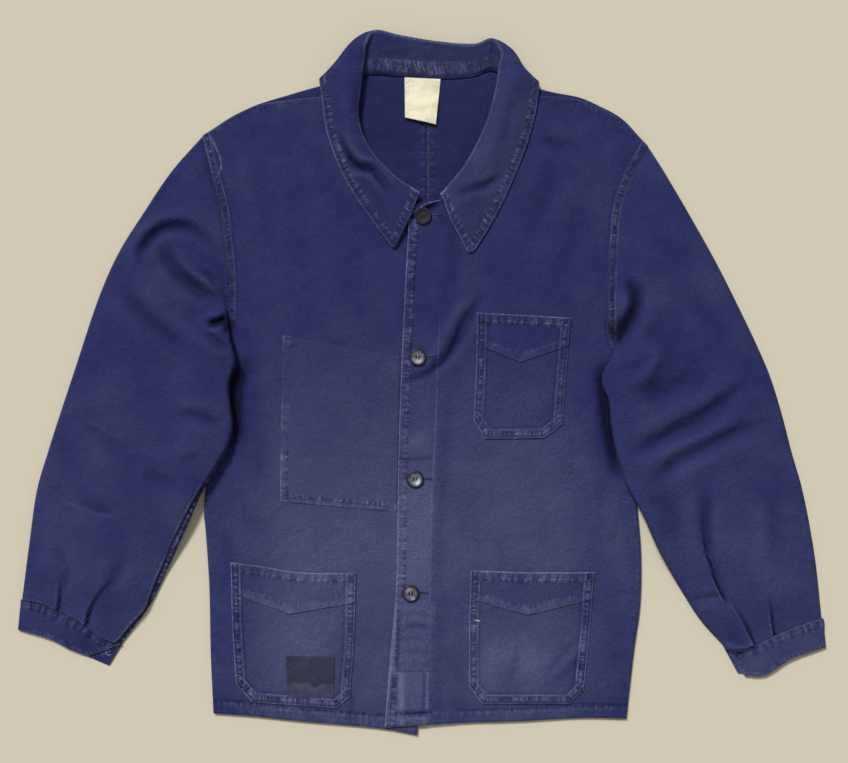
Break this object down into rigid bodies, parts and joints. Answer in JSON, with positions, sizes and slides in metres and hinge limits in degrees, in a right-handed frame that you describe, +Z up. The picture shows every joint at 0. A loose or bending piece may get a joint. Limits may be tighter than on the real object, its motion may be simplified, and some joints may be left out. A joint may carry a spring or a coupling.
{
  "type": "patched work jacket",
  "caption": "Blue cotton work jacket lying flat on its back, buttoned, with a turned-down collar, patch pockets with pointed facings and tonal sewn mends.",
  "frame": {"origin": "centre of the jacket's outline on the surface it lies on", "axes": "+X to the wearer's left, +Y from hem to collar, +Z up from the surface, out of the front of the jacket"},
  "size_m": [0.9308, 0.8078, 0.021],
  "materials": {
    "indigo_cotton": "matte",
    "faded_cotton": "matte",
    "mend_cotton": "matte",
    "charcoal_cotton": "matte",
    "label_tape": "satin",
    "button_horn": "gloss"
  },
  "bodies": {
    "root": {"back_right": "indigo_cotton", "back_left": "indigo_cotton", "front_right": "indigo_cotton", "front_left": "indigo_cotton", "sleeve_right": "indigo_cotton", "sleeve_left": "indigo_cotton", "cuff_right": "indigo_cotton", "cuff_left": "indigo_cotton", "collar": "indigo_cotton", "pocket_chest": "faded_cotton", "pocket_lower_left": "faded_cotton", "pocket_lower_right": "faded_cotton", "facing_chest": "faded_cotton", "facing_lower_left": "faded_cotton", "facing_lower_right": "faded_cotton", "patch_front": "mend_cotton", "patch_placket": "mend_cotton", "patch_pocket": "charcoal_cotton", "label": "label_tape", "button_1": "button_horn", "button_2": "button_horn", "button_3": "button_horn", "button_4": "button_horn"}
  },
  "joints": []
}
